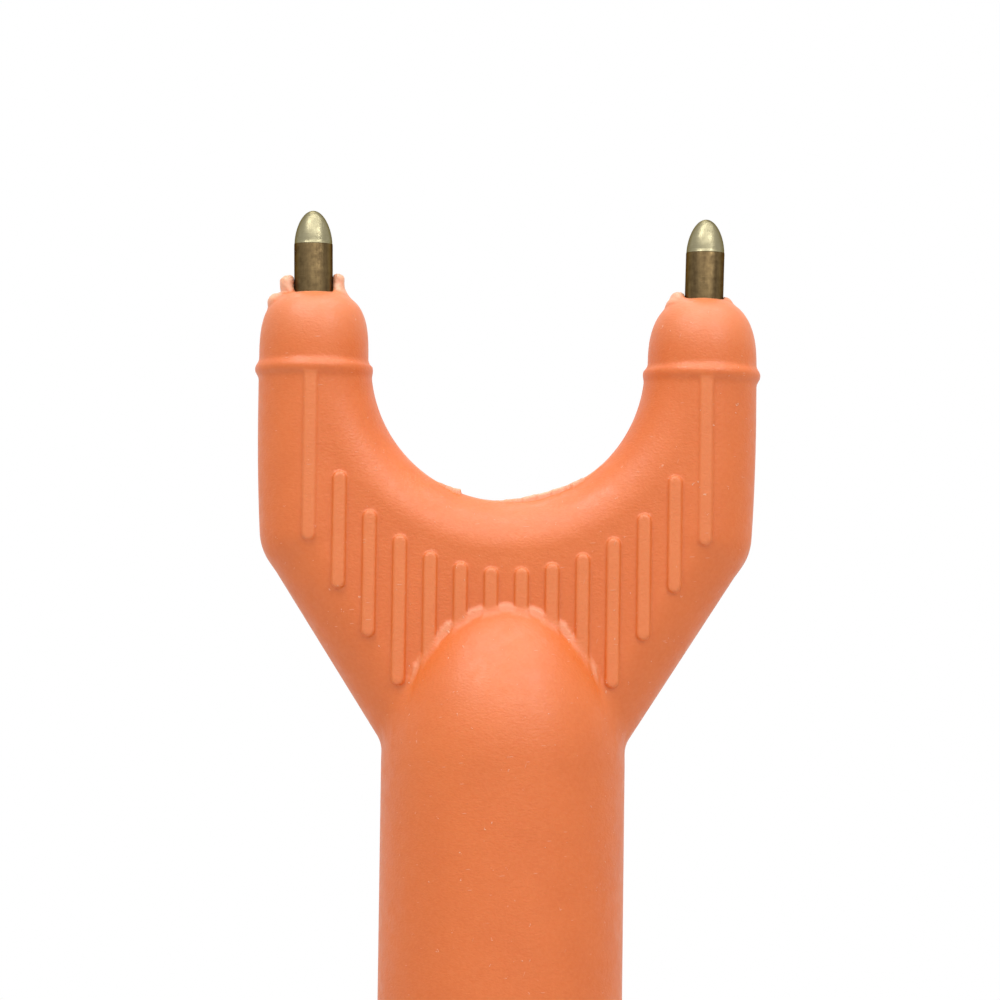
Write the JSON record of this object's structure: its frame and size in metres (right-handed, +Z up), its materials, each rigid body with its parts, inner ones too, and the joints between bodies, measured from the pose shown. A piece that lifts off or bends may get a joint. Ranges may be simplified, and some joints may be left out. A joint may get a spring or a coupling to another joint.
{
  "type": "cattle prodder",
  "caption": "Orange forked cattle prodder head with brass electrodes on a black shaft, with a ribbed handle, sprung trigger, safety slide and twist-off battery cap.",
  "frame": {"origin": "centre of the flat foot pad that the prodder stands on", "axes": "+Z up the shaft to the electrodes, +X along the line of the electrodes, -Y the trigger side"},
  "size_m": [0.0522, 0.0445, 0.4466],
  "materials": {
    "orange_pvc": "soft moulded vinyl, matt",
    "electrode_brass": "turned, tip polished, shank dulled",
    "plated_steel": "zinc plated",
    "red_insulation": "silicone insulation",
    "black_insulation": "silicone insulation",
    "white_nylon": "natural",
    "black_fibreglass": "drawn tube, satin",
    "black_rubber": "matt",
    "black_plastic": "fine moulded texture",
    "orange_shell": "fine moulded texture",
    "red_plastic": "moulded",
    "green_board": "solder mask",
    "ferrite": "ground",
    "taped_winding": "tape over wire",
    "blue_can": "sleeved can",
    "contact_brass": "stamped",
    "cell_can": "sleeved can"
  },
  "bodies": {
    "handle": {"prod_head": "orange_pvc", "electrode_left": "electrode_brass", "electrode_right": "electrode_brass", "electrode_crimps": "plated_steel", "lead_left": "red_insulation", "lead_right": "black_insulation", "lead_spacers": "white_nylon", "shaft_tube": "black_fibreglass", "gland_ring": "black_rubber", "collar_nut": "black_plastic", "handle_shell_left": "orange_shell", "handle_shell_right": "orange_shell", "shell_screws": "plated_steel", "grip_sleeve": "black_rubber", "trigger_pin": "plated_steel", "trigger_spring": "plated_steel", "switch_body": "black_plastic", "slide_switch": "black_plastic", "circuit_board": "green_board", "transformer_core": "ferrite", "transformer_coil": "taped_winding", "storage_capacitor": "blue_can", "power_transistor": "black_plastic", "lead_terminals": "contact_brass", "bulkhead": "white_nylon", "positive_contact": "contact_brass", "negative_strip": "contact_brass", "battery_cell_lower": "cell_can", "battery_cell_upper": "cell_can", "cap_seal": "black_rubber"},
    "trigger": {"trigger": "black_plastic"},
    "switch_plunger": {"switch_plunger": "red_plastic"},
    "safety_slider": {"safety_slider": "black_plastic"},
    "end_cap": {"end_cap": "black_plastic", "foot_pad": "black_rubber", "cap_contact": "contact_brass", "battery_spring": "plated_steel"}
  },
  "joints": [
    {"name": "trigger_pull", "type": "hinge", "parent": "handle", "child": "trigger", "pos_m": [0, -0.0142, 0.182], "axis": [1, 0, 0], "range_deg": [0, 7], "stiffness_Nm_per_rad": 0.6, "springref_deg": -8.59, "deforming": ["trigger_spring"]},
    {"name": "plunger_press", "type": "slide", "parent": "handle", "child": "switch_plunger", "axis": [0, 1, 0], "range_m": [0, 0.00122]},
    {"name": "safety_slide", "type": "slide", "parent": "handle", "child": "safety_slider", "axis": [0, 0, 1], "range_m": [0, 0.004]},
    {"name": "cap_twist", "type": "hinge", "parent": "handle", "child": "end_cap", "pos_m": [0, 0, 0.015], "axis": [0, 0, -1], "range_deg": [0, 40]}
  ],
  "couplings": [
    {"joint": "plunger_press", "follows": "trigger_pull", "m_per_rad": 0.01}
  ]
}
